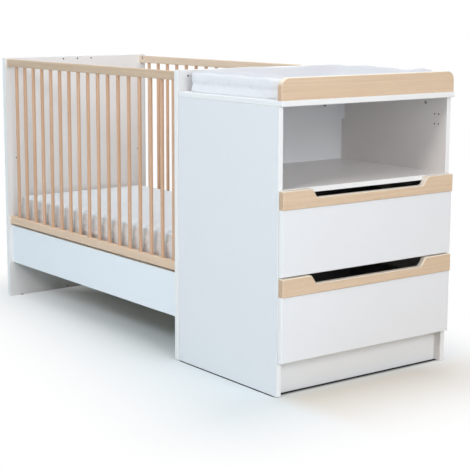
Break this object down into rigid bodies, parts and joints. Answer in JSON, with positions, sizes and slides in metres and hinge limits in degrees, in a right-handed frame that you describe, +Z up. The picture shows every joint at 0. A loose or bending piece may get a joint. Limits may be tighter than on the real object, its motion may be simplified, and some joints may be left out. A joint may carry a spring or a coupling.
{
  "type": "convertible crib",
  "caption": "Slatted baby cot with white end panels and beech rails, joined at its foot end to a chest of drawers with an open bay and a changing top with a padded mat.",
  "frame": {"origin": "on the floor, below the middle of the whole part's box", "axes": "+Z up; +X along the cot towards the chest, the way the drawers open; -Y is the slatted side that the picture shows in front"},
  "size_m": [1.832, 0.7466, 1.0113],
  "materials": {
    "white_board": "white melamine on chipboard, satin, with white edge bands",
    "beech": "clear satin lacquer on beech",
    "pine": "planed, unlacquered",
    "back_hardboard": "white lacquered hardboard",
    "drawer_box": "grey foil on chipboard",
    "runner_plastic": "moulded, waxy",
    "glide_plastic": "moulded",
    "zinc_fittings": "zinc plated",
    "mattress_fabric": "white stretch cotton sheet",
    "mat_vinyl": "soft white coated fabric over foam"
  },
  "bodies": {
    "cot_and_chest": {"head_panel": "white_board", "foot_panel": "white_board", "front_apron": "white_board", "rear_apron": "white_board", "chest_left_side": "white_board", "chest_right_side": "white_board", "changing_top": "white_board", "chest_back_rail": "white_board", "chest_lower_rail": "white_board", "chest_plinth": "white_board", "open_shelf": "white_board", "front_top_rail": "beech", "front_bottom_rail": "beech", "front_slats": "beech", "rear_top_rail": "beech", "rear_bottom_rail": "beech", "rear_slats": "beech", "top_lip": "beech", "head_cleat": "pine", "foot_cleat": "pine", "chest_back": "back_hardboard", "lower_runners": "runner_plastic", "upper_runners": "runner_plastic", "panel_glides": "glide_plastic", "chest_glides": "glide_plastic", "frame_pins": "zinc_fittings", "frame_cams": "zinc_fittings", "cleat_bolts": "zinc_fittings", "top_pins": "zinc_fittings", "top_cams": "zinc_fittings", "link_bolts": "zinc_fittings"},
    "lower_drawer": {"lower_drawer_front": "white_board", "lower_grip_strip": "beech", "lower_box_left_side": "drawer_box", "lower_box_right_side": "drawer_box", "lower_box_front": "drawer_box", "lower_box_back": "drawer_box", "lower_box_floor": "back_hardboard"},
    "upper_drawer": {"upper_drawer_front": "white_board", "upper_grip_strip": "beech", "upper_box_left_side": "drawer_box", "upper_box_right_side": "drawer_box", "upper_box_front": "drawer_box", "upper_box_back": "drawer_box", "upper_box_floor": "back_hardboard"},
    "mattress_base": {"base_front_rail": "pine", "base_rear_rail": "pine", "base_cross_rails": "pine", "base_slats": "pine"},
    "mattress": {"mattress": "mattress_fabric"},
    "changing_mat": {"changing_mat": "mat_vinyl"}
  },
  "joints": [
    {"name": "lower_drawer_slide", "type": "slide", "parent": "cot_and_chest", "child": "lower_drawer", "axis": [1, 0, 0], "range_m": [0, 0.36]},
    {"name": "upper_drawer_slide", "type": "slide", "parent": "cot_and_chest", "child": "upper_drawer", "axis": [1, 0, 0], "range_m": [0, 0.36]},
    {"name": "mattress_base_height", "type": "slide", "parent": "cot_and_chest", "child": "mattress_base", "axis": [0, 0, 1], "range_m": [0, 0.334]},
    {"name": "mattress_lift", "type": "slide", "parent": "mattress_base", "child": "mattress", "axis": [0, 0, 1], "range_m": [0, 0.7]},
    {"name": "changing_mat_lift", "type": "slide", "parent": "cot_and_chest", "child": "changing_mat", "axis": [0, 0, 1], "range_m": [0, 0.2]}
  ]
}
